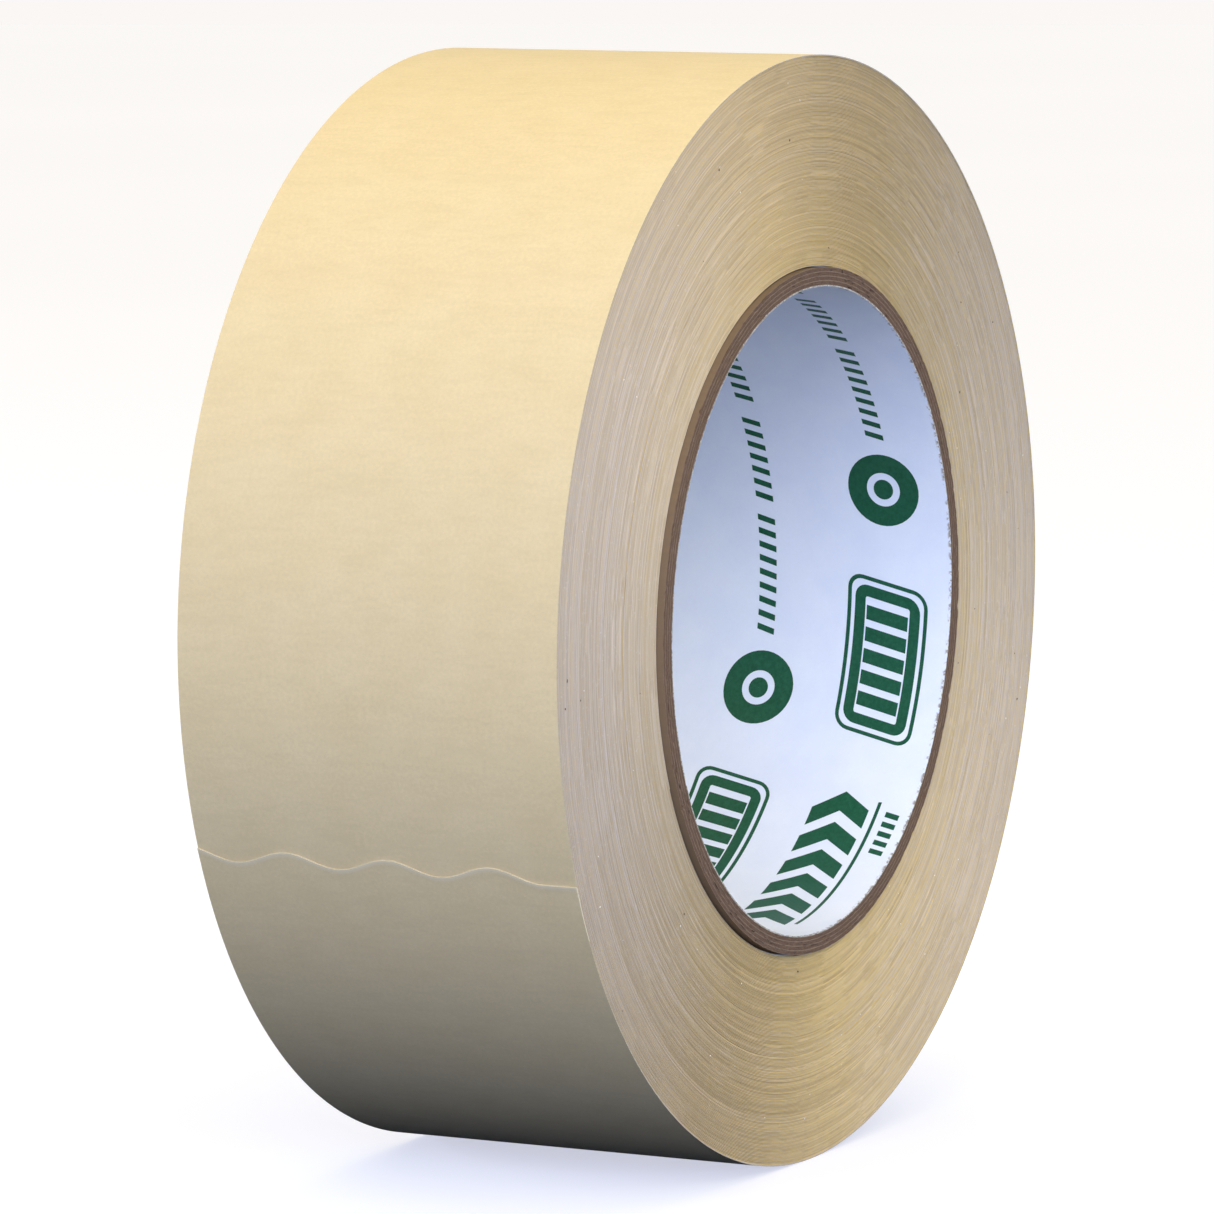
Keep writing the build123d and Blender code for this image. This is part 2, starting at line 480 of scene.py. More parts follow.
def backdrop_paint():
    """Pale studio backdrop, which shines evenly."""
    nodes = Nodes("backdrop_paint", 1.0, Specular_IOR_Level=0.0,
                  Base_Color=(0, 0, 0, 1), Emission_Color=(0.97, 0.94, 0.92, 1))
    clouds = nodes.noise(nodes.place(0.0004), 1.0, 3)
    nodes.link(nodes.spread(clouds, 0.3, 0.7, 0.98, 1.01), "Emission Strength")
    return nodes.material


CREPE, TAPE_EDGE, STRIP_EDGE, CUT_EDGE = crepe_paper(), tape_edge(), strip_edge(), cut_edge()
ADHESIVE, BOARD, LINER, LINER_EDGE = adhesive(), kraft_board(), liner_paper(), liner_edge()
INK = print_ink()


# ---------------------------------------------------------------- the strip's crinkled face

# The mesh of the crinkled face: step along the tape, and columns across it
CREPE_STEP = 0.187
CREPE_COLUMNS = 40
COLUMNS_Y = np.linspace(-TAPE_HALF, TAPE_HALF, CREPE_COLUMNS + 1)

# The tallest crinkle, and its layers: share of the height, a cell's length along the tape and
# width across it, and how many cells the ridges drift to and fro
CRINKLE_HEIGHT = 0.010
CRINKLE_LAYERS = ((0.40, 0.5, 2.4, 0.8), (0.15, 1.3, 7.0, 0.8), (0.45, 0.4, 1.3, 0.0))
DRIFT_LENGTH = 5.0
DRIFT_WIDTH = 2.2
DRIFT_SEED = 11
CRINKLE_SEED = 12

# Where the tape's middle lies across the tables of noise
NOISE_MIDDLE = 40
DRIFT_MIDDLE = 60


def strip_along(turn):
    """Distance along the strip from the tape's end, in millimetres."""
    return ROLL_RADIUS * np.radians(turn)


def crinkle(turn, y):
    """The crepe's crinkles from 0 to 1 at a turn angle: short ridges that lie across the tape."""
    along = strip_along(turn)
    drift = value_noise(along / DRIFT_LENGTH, y / DRIFT_WIDTH + DRIFT_MIDDLE, DRIFT_SEED)
    height = 0.0
    for layer, (share, length, width, reach) in enumerate(CRINKLE_LAYERS):
        cell = along / length + reach * drift
        height = height + share * value_noise(cell, y / width + NOISE_MIDDLE, CRINKLE_SEED + layer)
    return height


def strip_values(turn, y):
    """Attribute values of plain faces of the strip."""
    return {"crinkle": 0.5, "along": strip_along(turn), "across": y}


def crepe_face(turn, y, depth=0.0):
    """Points of the strip's crinkled outer face, and their attribute values."""
    height = crinkle(turn, y)
    points = on_strip(turn, depth + CRINKLE_HEIGHT * (1 - height), y)
    return points, {**strip_values(turn, y), "crinkle": height}


def turn_rows(start, stop, step):
    """Turn angles a step in millimetres apart along the strip."""
    count = max(1, round(strip_along(stop - start) / step))
    return np.linspace(start, stop, count + 1)[:, None]


def outer_turn_paper():
    """The outermost whole turn's paper, one long closed strip."""
    turn = turn_rows(TAIL_ANGLE, LAP_ANGLE + 360, CREPE_STEP)
    sides_y = COLUMNS_Y[[0, -1]]
    shape = Shape()
    points, values = crepe_face(turn, COLUMNS_Y)
    face = shape.add_points(points, **values)
    under = shape.add_points(on_strip(turn, BACKING_THICKNESS, sides_y), **strip_values(turn, sides_y))
    shape.add_faces(grid_quads(face), 0, True)
    shape.add_faces(grid_quads(under[::-1]), 0, True)
    for side in (0, -1):
        edge, low = face[:, side], under[:, side]
        shape.add_faces(quads(edge[:-1], low[:-1], low[1:], edge[1:]), 1)
    for end in (0, -1):
        shape.add_faces([face[end].tolist() + under[end][::-1].tolist()], 1)
    return shape.make("outer_turn_paper", CREPE, STRIP_EDGE)


# The adhesive coat's mesh, its gap to the paper, and the rope marks on its face
GLUE_STEP = 1.0
GLUE_COLUMNS = 8
GLUE_GAP = 0.001
ROPE_HEIGHT = 0.004
ROPE_LENGTH = 1.5
ROPE_WIDTH = 9.0
ROPE_SEED = 21


def outer_turn_glue():
    """The outermost whole turn's adhesive coat, on the strip's inner side."""
    turn = turn_rows(TAIL_ANGLE, LAP_ANGLE + 360, GLUE_STEP)
    y = np.linspace(-TAPE_HALF, TAPE_HALF, GLUE_COLUMNS + 1)
    rope = value_noise(strip_along(turn) / ROPE_LENGTH, y / ROPE_WIDTH + NOISE_MIDDLE, ROPE_SEED)
    top = on_strip(turn, BACKING_THICKNESS + GLUE_GAP, y)
    bottom = on_strip(turn, TAPE_THICKNESS - ROPE_HEIGHT * rope, y)
    shape = Shape()
    shape.add_slab(top, bottom, **strip_values(turn, y))
    return shape.make("outer_turn_glue", ADHESIVE)


# ---------------------------------------------------------------- the free end

# Rows of points on a link, and how the paper flares off the roll near the cut
LINK_ROWS = 44
FLARE_LENGTH = 0.5
FLARE_HEIGHT = 0.05
FLARE_END = 20


def link_rows(link):
    """Turn angles of a link's points, a row for each step; the last link starts at the wavy cut."""
    stop = TAIL_ANGLE - link * LINK_ANGLE
    start = cut_turn(COLUMNS_Y) if link == LINK_COUNT - 1 else stop - LINK_ANGLE
    return start + np.linspace(0, 1, LINK_ROWS)[:, None] * (stop - start)


def flare(turn):
    """How near the cut a place is, from 0 to 1: there the paper is torn and stands off the roll."""
    past = strip_along(turn - cut_turn(COLUMNS_Y)) / FLARE_LENGTH
    return np.exp(-np.clip(past, 0, FLARE_END) ** 2)


def tape_end(link):
    """One link of the free end: its paper and its adhesive."""
    has_cut = link == LINK_COUNT - 1
    turn = link_rows(link)
    # The torn zone by the cut stands off the roll. The crepe paints it pale, partly for whitened torn fibres
    # and partly as a painted highlight along the cut.
    torn = flare(turn) if has_cut else 0.0
    lift = FLARE_HEIGHT * torn
    top, values = crepe_face(turn, COLUMNS_Y, -lift)
    middle = on_strip(turn, BACKING_THICKNESS - lift, COLUMNS_Y)
    bottom = on_strip(turn, TAPE_THICKNESS - lift, COLUMNS_Y)
    paper, glue = Shape(), Shape()
    paper.add_slab(top, middle, (0, 0, 1), torn=torn, **values)
    glue.add_slab(middle, bottom, **strip_values(turn, COLUMNS_Y))
    paper_piece = paper.make(f"tape_end_paper_{link + 1}", CREPE, CUT_EDGE if has_cut else STRIP_EDGE)
    return paper_piece, glue.make(f"tape_end_glue_{link + 1}", ADHESIVE)


# ---------------------------------------------------------------- the windings

# Points to a turn and turns on a side face; the edges are a slab of their own on the body of the
# pack, which is crinkled where the peeled end bares it and a little past that
TURN_STEPS = 192
TURN_COUNT = floor((WINDINGS_RADIUS - CORE_RADIUS) / TAPE_THICKNESS)
CORE_CLEARANCE = 0.01
PITCH = (WINDINGS_RADIUS - CORE_RADIUS - CORE_CLEARANCE) / (TURN_COUNT + 1)
SLAB_DEPTH = 0.8
BARED_MARGIN = 1.0
BODY_STEP = 1.0

# Across one turn's edge: share of the pitch, and how far down in the groove it is, for the colour;
# only a point that is all the way down is sunk
EDGE_PROFILE = ((0.0, 0.0), (0.14, 0.12), (0.57, 1.0))
GROOVE_DEPTH = 0.100

# How the turns' edges wander: reach, noise cells to a turn, and a power that makes high ones rare
LEAST_RECESS = 0.01
EDGE_WANDER = ((0.095, 1 / 7, 1), (0.070, 1 / 2.6, 1), (0.040, 2.3, 1), (0.08, 1.9, 10))
NOISE_ROW = 0.5
NOISE_ROW_STEP = 10
EDGE_SEEDS = {-1: 31, 1: 51}


def edge_recess(turns, seed):
    """How far each turn's edge lies inside the tape's full width."""
    recess = LEAST_RECESS
    for layer, (reach, cells, power) in enumerate(EDGE_WANDER):
        noise = value_noise(turns * cells, NOISE_ROW + NOISE_ROW_STEP * layer, seed + layer)
        recess = recess + reach * noise ** power
    return recess


def windings_edges(name, side):
    """The edges of every turn on one side of the roll, as one continuous spiral of relief."""
    last = TURN_COUNT * TURN_STEPS
    share, groove = np.array(EDGE_PROFILE).T
    turns = np.arange(last + 1)[:, None] / TURN_STEPS
    turn = LAP_ANGLE + 360 * turns
    radius = WINDINGS_RADIUS - PITCH * (turns + share)
    recess = edge_recess(turns, EDGE_SEEDS[side]) + GROOVE_DEPTH * (groove == 1)
    points = round_axis(radius, END_ANGLE + turn, side * (TAPE_HALF - recess))
    along = np.broadcast_to(strip_along(turn), radius.shape)
    shape = Shape()
    numbers = shape.add_points(points, turn=turns, groove=groove, crinkle=0.5, along=along,
                               across=side * TAPE_HALF)
    outer, inner, bottom = numbers.T
    shape.add_faces(quads(outer[:-1], outer[1:], inner[1:], inner[:-1]))
    shape.add_faces(quads(inner[:-1], inner[1:], bottom[1:], bottom[:-1]))
    inside = last - TURN_STEPS
    next_outer = outer[TURN_STEPS:]
    shape.add_faces(quads(bottom[:inside], bottom[1:inside + 1], next_outer[1:], next_outer[:-1]))
    rim = np.concatenate([outer[:TURN_STEPS + 1], [bottom[0], inner[0]]])
    bore = np.concatenate([bottom[inside:], [inner[-1], outer[-1]]])
    close_edges(shape, rim, bore, along.ravel(), side * (TAPE_HALF - SLAB_DEPTH))
    return shape.make(name, TAPE_EDGE, CREPE)


def close_edges(shape, rim, bore, along, back_y):
    """Closes the spiral of relief with walls at its rim and bore and a flat back between them."""
    flat = np.concatenate(shape.points)
    backs = []
    for line in (rim, bore):
        points = flat[line] * (1, 0, 1) + (0, back_y, 0)
        backs.append(shape.add_points(points, crinkle=0.5, along=along[line], across=back_y))
    rim_back, bore_back = backs
    for front, back, kind in ((rim, rim_back, 1), (bore, bore_back, 0), (rim_back, bore_back, 0)):
        around = quads(front, np.roll(front, -1), np.roll(back, -1), back)
        shape.add_faces(around[:TURN_STEPS], kind, True)
        shape.add_faces(around[TURN_STEPS:], kind)


def windings_body():
    """The bulk of the wound turns, with the crinkled turn that shows when the free end is peeled up."""
    bared_stop = TAIL_ANGLE + BARED_MARGIN
    bared = turn_rows(LAP_ANGLE, bared_stop, CREPE_STEP)
    turn = np.concatenate([bared, turn_rows(bared_stop, LAP_ANGLE + 360, BODY_STEP)[1:]])
    half = TAPE_HALF - SLAB_DEPTH
    y = np.linspace(-half, half, CREPE_COLUMNS + 1)
    points, values = crepe_face(turn + 360, y, TURN_GAP)
    shape = Shape()
    face = shape.add_points(points, **values)
    hole = shape.add_points(round_axis(CORE_RADIUS + CORE_CLEARANCE, END_ANGLE + turn[:-1], y[[0, -1]]))
    hole = np.concatenate([hole, hole[:1]])
    shape.add_faces(grid_quads(face), 0, True)
    shape.add_faces(grid_quads(hole[::-1]), 1, True)
    for side in (0, -1):
        edge, bore = face[:, side].tolist(), hole[:, side].tolist()
        walls = [[edge[row], edge[row + 1], bore[row + 1], bore[row]] for row in range(1, len(edge) - 1)]
        at_step = [edge[0], edge[1], bore[1], bore[0], edge[-1]]
        shape.add_faces(walls + [at_step], 1)
    shape.add_faces([face[0].tolist() + face[-1][::-1].tolist()], 1)
    return shape.make("windings_body", CREPE, TAPE_EDGE)


# ---------------------------------------------------------------- the core

def seam_angle(radius, middle, y):
    """Where a core strip's helical butt seam lies at a place along the axis."""
    lead = CORE_STRIP_WIDTH / sqrt(1 - (CORE_STRIP_WIDTH / (2 * pi * radius)) ** 2)
    return middle - 360 * y / lead


class CoreStrip:
    """A strip of the core wound in a helix: outer face, inner face and rough cut ends."""

    def __init__(self, inner, outer, middle, columns, rows, finer, radial):
        self.inner, self.outer, self.middle = inner, outer, middle
        self.columns, self.rows, self.finer, self.radial = columns, rows, finer, radial
        self.shape = Shape()

    def lattice(self, rows, radius, y, inset=0.0):
        """Numbers of points at equal shares of the way round from the seam, at each radius and y."""
        share = np.linspace(0, 1, rows + 1)[:, None]
        gap = degrees(BUTT_GAP / self.inner)
        seam = seam_angle((self.inner + self.outer) / 2, self.middle, y)
        angle = seam + gap / 2 + share * (360 - gap)
        arc = np.radians(angle) * self.inner
        inward = inset(arc, radius, np.sign(y)) if inset else 0.0
        deep = (radius - self.inner) / (self.outer - self.inner)
        points = round_axis(radius, angle, y - np.sign(y) * inward)
        return self.shape.add_points(points, along=arc, deep=deep)

    def build(self, inset, face_kinds, end_kind):
        """Adds every face, the ends finer than the rest."""
        y = np.linspace(-CORE_HALF, CORE_HALF, self.columns + 1)[1:-1]
        sides = [self.lattice(self.rows, radius + 0 * y, y) for radius in (self.outer, self.inner)]
        depth = np.linspace(self.outer, self.inner, self.radial + 1)
        ends = [self.lattice(self.rows * self.finer, depth, end_y + 0 * depth, inset)
                for end_y in (-CORE_HALF, CORE_HALF)]
        for numbers, kind in zip(sides, face_kinds):
            self.shape.add_faces(grid_quads(numbers), kind, True)
        for end, column in zip(ends, (0, -1)):
            self.shape.add_faces(grid_quads(end), end_kind)
            for numbers, edge, kind in zip(sides, (end[:, 0], end[:, -1]), face_kinds):
                self.shape.add_faces(self.stitch(numbers[:, column], edge), kind, True)
        for row in (0, -1):
            outside, inside = (numbers[row] for numbers in sides)
            self.shape.add_faces(quads(outside[:-1], outside[1:], inside[1:], inside[:-1]), end_kind)
            for end, column in zip(ends, (0, -1)):
                corner = [int(inside[column]), int(outside[column])]
                self.shape.add_faces([end[row].tolist() + corner], end_kind)
        return self.shape

    def stitch(self, coarse, fine):
        """Faces between a coarse line of points and a finer one."""
        faces = []
        for row in range(self.rows):
            stretch = fine[row * self.finer:(row + 1) * self.finer + 1]
            faces.append([int(coarse[row + 1]), int(coarse[row])] + stretch.tolist())
        return faces


# Fibres on a cut end: share of the roughness, and a cell's length round the core and radial depth;
# chips are likewise, with a power that makes them rare; the shift sets the core's two ends apart
FIBRE_LAYERS = ((0.6, 0.7, 0.14), (0.4, 0.3, 0.08))
CHIP_LENGTH = 1.1
CHIP_DEPTH = 0.3
CHIP_POWER = 7
SIDE_SHIFT = 6
LINER_SEED = 71
BOARD_SEED = 81
BOARD_SEED_STEP = 5


def rough_cut(roughness, chips, seed):
    """How far a cut end of board or paper lies inside the core's length: fibres and torn chips."""
    def inset(arc, radius, side):
        across = radius + SIDE_SHIFT * side
        rough = 0.0
        for layer, (share, length, depth) in enumerate(FIBRE_LAYERS):
            rough = rough + share * value_noise(arc / length, across / depth, seed + layer)
        chip = value_noise(arc / CHIP_LENGTH, across / CHIP_DEPTH, seed + len(FIBRE_LAYERS)) ** CHIP_POWER
        return roughness * rough + chips * chip
    return inset


def core_liner_paper():
    """The printed liner; paper shows in the bore, and board fibres at its cut edges."""
    strip = CoreStrip(BORE_RADIUS, PAPER_RADIUS, LINER_SEAM_ANGLE, columns=68, rows=400, finer=4, radial=2)
    shape = strip.build(rough_cut(roughness=0.06, chips=0.12, seed=LINER_SEED), (1, 0), 1)
    return shape.make("core_liner_paper", LINER, LINER_EDGE)


def core_board(ply):
    """One ply of board."""
    inner, outer = PLY_RADII[ply]
    middle = LINER_SEAM_ANGLE + (ply + 1) * SEAM_STAGGER
    strip = CoreStrip(inner, outer, middle, columns=24, rows=300, finer=5, radial=6)
    cut = rough_cut(roughness=0.09, chips=0.3, seed=BOARD_SEED + BOARD_SEED_STEP * ply)
    return strip.build(cut, (0, 0), 0).make(f"core_board_{ply + 1}", BOARD)


# ---------------------------------------------------------------- the liner's print

# The ink stands off the liner, and its mesh has points a step apart, on a corner and across a ring
PRINT_LIFT = 0.012
PRINT_THICKNESS = 0.010
PRINT_STEP = 0.8
CORNER_POINTS = 7
RING_POINTS = 4

# The print repeats twice round the bore, in three columns, each shifted from the one before
REPEAT_COUNT = 2
REPEAT = 2 * pi * BORE_RADIUS / REPEAT_COUNT
COLUMN_COUNT = 3
COLUMN_SHIFT = (-25.6, 16.3)
FIRST_COLUMN_Y = -16.3

# Where the parts of one repeat lie along it, and the first tick and the ticks of each group
ARROWS_X = -54.0
BADGE_X = -10.4
DISC_X = 11.0
TICK_GROUPS = ((18.4, 9), (35.0, 7), (49.0, 5))

# Arrowheads, with the places of the rule and the short ticks from the first of them
ARROW_COUNT = 6
ARROW_PITCH = 4.7
ARROW_Y = 1.0
ARROW = dict(length=-2.6, height=7.6, width=2.9)
RULE_PLACE = (11.5, -3.9)
RULE = dict(length=27.0, height=0.45)
SHORT_TICKS_PLACE = (17.0, -6.1)
SHORT_TICKS = dict(count=5, pitch=1.5, length=0.8, height=1.9, lean=0.5)

# The badge: its two frames and the stripes in it; then the disc and the long ticks
BADGE_LEAN = 0.24
BADGE_FRAMES = (dict(length=19.4, height=10.8, corner=2.0, line=0.5),
                dict(length=17.2, height=8.8, corner=1.7, line=1.4))
STRIPES_X = -5.3
STRIPES = dict(count=5, pitch=2.65, length=1.75, height=5.6, lean=5.6 * BADGE_LEAN)
DISC_RINGS = (dict(inner=2.2, outer=4.7, steps=40), dict(inner=0.01, outer=1.3, steps=24))
TICKS = dict(pitch=1.7, length=0.75, height=2.3, lean=0.7)


def leaning_bar(x, y, length, height, lean=0.0):
    """A bar, or one with slanted ends, as a grid of places on the flat liner."""
    share = np.linspace(-0.5, 0.5, max(2, int(length / PRINT_STEP) + 2))[:, None]
    rise = np.linspace(-0.5, 0.5, 3)
    across = y + rise * height + 0 * share
    return np.stack(np.broadcast_arrays(x + share * length + rise * lean, across), -1)


def bar_row(x, y, count, pitch, length, height, lean):
    """A row of equal bars."""
    return [leaning_bar(x + index * pitch, y, length, height, lean) for index in range(count)]


def ring(x, y, inner, outer, steps):
    """A ring, as a grid whose last row comes next to its first."""
    around = np.arange(steps)[:, None] * 2 * pi / steps
    radius = np.linspace(inner, outer, RING_POINTS)
    return np.stack(np.broadcast_arrays(x + radius * np.cos(around), y + radius * np.sin(around)), -1)


def rounded_frame(x, y, length, height, corner, line):
    """The outline of a leaning box with round corners, as a grid whose last row comes next to its first."""
    rows = []
    for quarter, (right, top) in enumerate(((1, 1), (-1, 1), (-1, -1), (1, -1))):
        turned = np.radians(90 * quarter + np.linspace(0, 90, CORNER_POINTS))[:, None]
        radius = np.array([corner, corner - line])
        arc_x = x + right * (length / 2 - corner) + radius * np.cos(turned)
        arc_y = y + top * (height / 2 - corner) + radius * np.sin(turned)
        rows.append(np.stack([arc_x, arc_y], -1))
        if quarter % 2 == 0:
            steps = np.linspace(0, 1, int(length / PRINT_STEP))[1:-1, None]
            rows.append(rows[-1][-1] + steps[:, :, None] * np.array([-right * (length - 2 * corner), 0]))
    outline = np.concatenate(rows)
    outline[..., 0] += BADGE_LEAN * (outline[..., 1] - y)
    return outline


def chevron(x, y, length, height, width):
    """An arrowhead made of two leaning bars."""
    return [leaning_bar(x, y + side * height / 4, width, height / 2, side * length) for side in (-1, 1)]


def arrow_bars(x, y):
    """Arrowheads in a row, over a rule and a few short ticks."""
    bars = []
    for index in range(ARROW_COUNT):
        bars += chevron(x + index * ARROW_PITCH, y + ARROW_Y, **ARROW)
    bars.append(leaning_bar(x + RULE_PLACE[0], y + RULE_PLACE[1], **RULE))
    return bars + bar_row(x + SHORT_TICKS_PLACE[0], y + SHORT_TICKS_PLACE[1], **SHORT_TICKS)


def print_repeat(x, y):
    """One repeat of the print, as bars and as closed loops: arrowheads, a badge, a ringed dot and ticks."""
    bars = arrow_bars(x + ARROWS_X, y) + bar_row(x + BADGE_X + STRIPES_X, y, **STRIPES)
    for first, count in TICK_GROUPS:
        bars += bar_row(x + first, y, count, **TICKS)
    loops = [rounded_frame(x + BADGE_X, y, **frame_sizes) for frame_sizes in BADGE_FRAMES]
    loops += [ring(x + DISC_X, y, **ring_sizes) for ring_sizes in DISC_RINGS]
    return bars, loops


def ink_faces(places):
    """Both faces of a patch of ink, from its places on the flat liner."""
    angle = np.degrees(places[..., 0] / BORE_RADIUS)
    return [round_axis(BORE_RADIUS - depth, angle, places[..., 1])
            for depth in (PRINT_LIFT, PRINT_LIFT - PRINT_THICKNESS)]


def liner_print():
    """All the print on the liner, as ink a hundredth of a millimetre thick."""
    shape = Shape()
    for column in range(COLUMN_COUNT):
        for repeat in range(REPEAT_COUNT):
            x = column * COLUMN_SHIFT[0] + repeat * REPEAT
            y = FIRST_COLUMN_Y + column * COLUMN_SHIFT[1]
            bars, loops = print_repeat(x, y)
            for bar in bars:
                shape.add_slab(*ink_faces(bar), soft=False)
            for loop in loops:
                shape.add_loop(*ink_faces(loop), soft=False)
    return shape.make("liner_print", INK)


# ---------------------------------------------------------------- dust and glue on the sides

# A grain is a rough ball of points, drawn out, flattened and open at its poles
GRAIN_SIDES = 7
GRAIN_RINGS = 4
GRAIN_LENGTHS = (1, 2.2)
POLE_GAP = 0.2
KNOBBLINESS = 0.25
FLATNESS = 0.5
SPECK_MARGIN = 1.0


def grain_points(dice, size, side):
    """A knobbly grain round the origin, as a grid of points."""
    length, spin = dice.uniform(*GRAIN_LENGTHS), dice.uniform(0, 2 * pi)
    latitude = np.linspace(POLE_GAP - pi / 2, pi / 2 - POLE_GAP, GRAIN_RINGS)
    longitude = np.arange(GRAIN_SIDES)[:, None] * 2 * pi / GRAIN_SIDES
    knobs = 1 + KNOBBLINESS * dice.standard_normal((GRAIN_SIDES, GRAIN_RINGS))
    u = size * length * np.cos(latitude) * np.cos(longitude) * knobs
    v = size * np.cos(latitude) * np.sin(longitude) * knobs
    w = FLATNESS * size * np.sin(latitude) + 0 * longitude
    return np.stack([u * cos(spin) - v * sin(spin), side * w, u * sin(spin) + v * cos(spin)], -1)


def side_specks(name, side, material, count, sizes, depth, seed):
    """Small irregular grains stuck to the side of the roll."""
    dice = np.random.default_rng(seed)
    shape = Shape()
    for _ in range(count):
        radius = sqrt(dice.uniform((CORE_RADIUS + SPECK_MARGIN) ** 2, (ROLL_RADIUS - SPECK_MARGIN) ** 2))
        angle = dice.uniform(0, 360)
        grain = grain_points(dice, dice.uniform(*sizes), side)
        numbers = shape.add_points(grain + round_axis(radius, angle, side * (TAPE_HALF - depth)))
        ringed = np.concatenate([numbers, numbers[:1]])
        shape.add_faces(grid_quads(ringed), 0, True)
        shape.add_faces([numbers[:, 0].tolist(), numbers[::-1, -1].tolist()], 0, True)
    return shape.make(name, material)


# ---------------------------------------------------------------- assembly

def attach(piece, body, slot, *nodes):
    """Puts a piece on its body and has it stand for CAD nodes."""
    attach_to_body(piece, body)
    if nodes:
        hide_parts(*nodes)


attach(outer_turn_paper(), "roll", "crepe_paper", "outer_turn_backing")
attach(outer_turn_glue(), "roll", "adhesive", "outer_turn_adhesive")
attach(windings_body(), "roll", "crepe_paper", "tape_windings")
attach(windings_edges("windings_edges_front", -1), "roll", "tape_edge", "tape_windings")
attach(windings_edges("windings_edges_back", 1), "roll", "tape_edge", "tape_windings")
attach(core_liner_paper(), "roll", "liner_paper", "core_liner")
for ply, node in enumerate(PLY_NODES):
    attach(core_board(ply), "roll", "core_board", node)
attach(liner_print(), "roll", "liner_paper")

FLECK = dust("dark_fleck", (0.05, 0.03, 0.02), (0.14, 0.09, 0.06), 0.8)
GLUE_BEAD = dust("glue_bead", (0.86, 0.84, 0.74), (0.95, 0.93, 0.86), 0.12)
FLECK_SEED = 5
BEAD_SEED = 9
for side_name, side in (("front", -1), ("back", 1)):
    flecks = side_specks(f"dark_flecks_{side_name}", side, FLECK, count=22, sizes=(0.05, 0.11),
                         depth=0.03, seed=FLECK_SEED + side)
    beads = side_specks(f"glue_beads_{side_name}", side, GLUE_BEAD, count=60, sizes=(0.03, 0.08),
                        depth=0.02, seed=BEAD_SEED + side)
    attach(flecks, "roll", "tape_edge")
    attach(beads, "roll", "adhesive")

BEND_LENGTH = 2.5
for link in range(LINK_COUNT):
    hinge_angle, hinge_radius = HINGES[link]
    bend_stop = hinge_angle - degrees(BEND_LENGTH / hinge_radius)
    bend = [Vector(round_axis(hinge_radius, angle, 0.0) * MM) for angle in (hinge_angle, bend_stop)]
    paper, glue = tape_end(link)
    for piece, slot, layer in ((paper, "crepe_paper", "backing"), (glue, "adhesive", "adhesive")):
        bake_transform(piece)
        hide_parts(f"tape_end_{layer}_{link + 1}")


# ---------------------------------------------------------------- studio

STAGE_SIDES = 96
FLOOR_MIDDLE_RADIUS = 400.0
WALL_RADIUS = 4000.0
WALL_TOP = 4000.0


def stage_ring(radius, height):
    """Points of a level ring round the roll."""
    around = np.arange(STAGE_SIDES) * 2 * pi / STAGE_SIDES
    return np.stack([radius * np.cos(around), radius * np.sin(around), np.full(STAGE_SIDES, height)], -1)


def stage_piece(name, inner_ring, outer_ring, material, is_floor):
    """A band of the stage, which sends no light on to the roll; only a floor has a middle and shadows."""
    shape = Shape()
    inner, outer = shape.add_points(inner_ring), shape.add_points(outer_ring)
    if is_floor:
        shape.add_faces([inner.tolist()])
    shape.add_faces(quads(inner, np.roll(inner, -1), np.roll(outer, -1), outer))
    piece = shape.make(name, material)
    piece.visible_diffuse = piece.visible_glossy = False
    piece.visible_shadow = is_floor


def make_stage():
    """A round pale floor under the roll, and a pale wall far round it that lets the light through."""
    middle = stage_ring(FLOOR_MIDDLE_RADIUS, FLOOR_Z)
    foot = stage_ring(WALL_RADIUS, FLOOR_Z)
    stage_piece("floor", middle, foot, floor_paint(), True)
    stage_piece("backdrop", foot, stage_ring(WALL_RADIUS, WALL_TOP), backdrop_paint(), False)


def softbox(name, direction, distance, size, power, colour):
    """A square area light that looks at the roll."""
    light = bpy.data.lights.new(name, "AREA")
    light.shape = "SQUARE"
    light.size = size
    light.energy = power
    light.color = colour
    lamp = bpy.data.objects.new(name, light)
    bpy.context.scene.collection.objects.link(lamp)
    lamp.location = Vector(direction).normalized() * distance
    lamp.rotation_euler = lamp.location.to_track_quat("Z", "Y").to_euler()


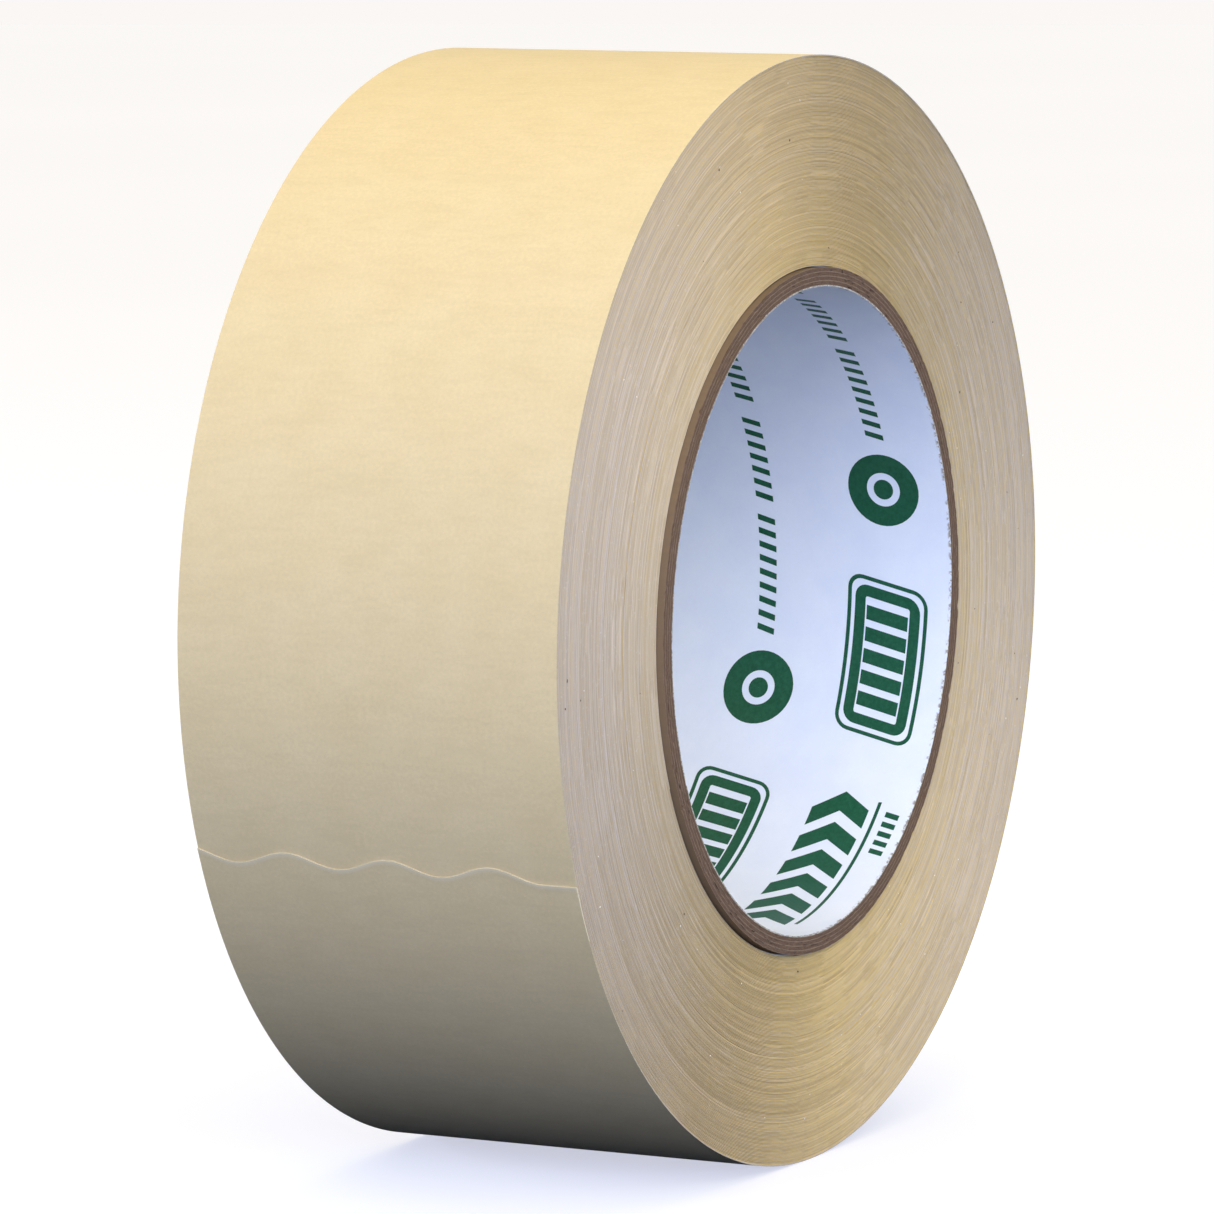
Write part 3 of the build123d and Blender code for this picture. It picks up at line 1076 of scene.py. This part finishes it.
def studio_world(zenith, low_sky, ground):
    """A pale dome, warmer overhead and dimmer low down, that is dark from the horizon on."""
    world = bpy.data.worlds.new("studio")
    bpy.context.scene.world = world
    world.use_nodes = True
    nodes, links = world.node_tree.nodes, world.node_tree.links
    split = nodes.new("ShaderNodeSeparateXYZ")
    links.new(nodes.new("ShaderNodeTexCoord").outputs["Generated"], split.inputs[0])
    ramp = nodes.new("ShaderNodeValToRGB")
    stops = ((0.0, ground), (0.5, ground), (0.62, low_sky), (1.0, zenith))
    for place, _ in stops[1:-1]:
        ramp.color_ramp.elements.new(place)
    for element, (place, colour) in zip(ramp.color_ramp.elements, stops):
        element.position = place
        element.color = (*colour, 1)
    height = nodes.new("ShaderNodeMath")
    height.operation = "MULTIPLY_ADD"
    height.inputs[1].default_value = height.inputs[2].default_value = 0.5
    links.new(split.outputs["Z"], height.inputs[0])
    links.new(height.outputs[0], ramp.inputs[0])
    links.new(ramp.outputs[0], nodes["Background"].inputs["Color"])


# The camera: its direction from the roll and its right hand, its distance in metres, and how far
# right of the roll's middle and above it the camera aims, in millimetres
CAMERA_BACK = (-0.8857, -0.4506, 0.1116)
CAMERA_RIGHT = (0.4534, -0.8913, 0.0)
CAMERA_DISTANCE = 0.881
CAMERA_AIM = (-2.635, -0.75)
LENS = 220.1


def photo_camera():
    """The camera at the photograph's viewing angle."""
    back, right = Vector(CAMERA_BACK).normalized(), Vector(CAMERA_RIGHT).normalized()
    up = back.cross(right)
    aim = (CAMERA_AIM[0] * right + CAMERA_AIM[1] * up) * MM
    camera_data = bpy.data.cameras.new("camera")
    camera_data.sensor_width = 36
    camera_data.lens = LENS
    camera_data.clip_start = 0.05
    camera_data.clip_end = 50
    camera_data.dof.use_dof = False
    camera = bpy.data.objects.new("camera", camera_data)
    bpy.context.scene.collection.objects.link(camera)
    axes = Matrix((right, up, back)).transposed().to_4x4()
    camera.matrix_world = Matrix.Translation(CAMERA_DISTANCE * back + aim) @ axes
    bpy.context.scene.camera = camera


make_stage()
softbox("left_softbox", (-1.0, -0.3, 0.32), distance=1.1, size=0.6, power=6.8, colour=(0.68, 0.77, 1.0))
softbox("front_softbox", (-0.5, -1.0, 0.45), distance=1.1, size=0.7, power=5.75, colour=(1.0, 0.87, 0.52))
softbox("bore_softbox", (-0.1, -1.0, 0.0), distance=1.0, size=0.3, power=13.0, colour=(0.47, 0.63, 1.0))
softbox("back_softbox", (-0.12, 1.0, 0.0), distance=1.0, size=0.4, power=16.0, colour=(0.74, 0.84, 1.0))
studio_world(zenith=(1.30, 1.02, 0.32), low_sky=(0.28, 0.45, 0.72), ground=(0.0, 0.0, 0.0))
photo_camera()
bpy.context.scene.view_settings.view_transform = "Standard"
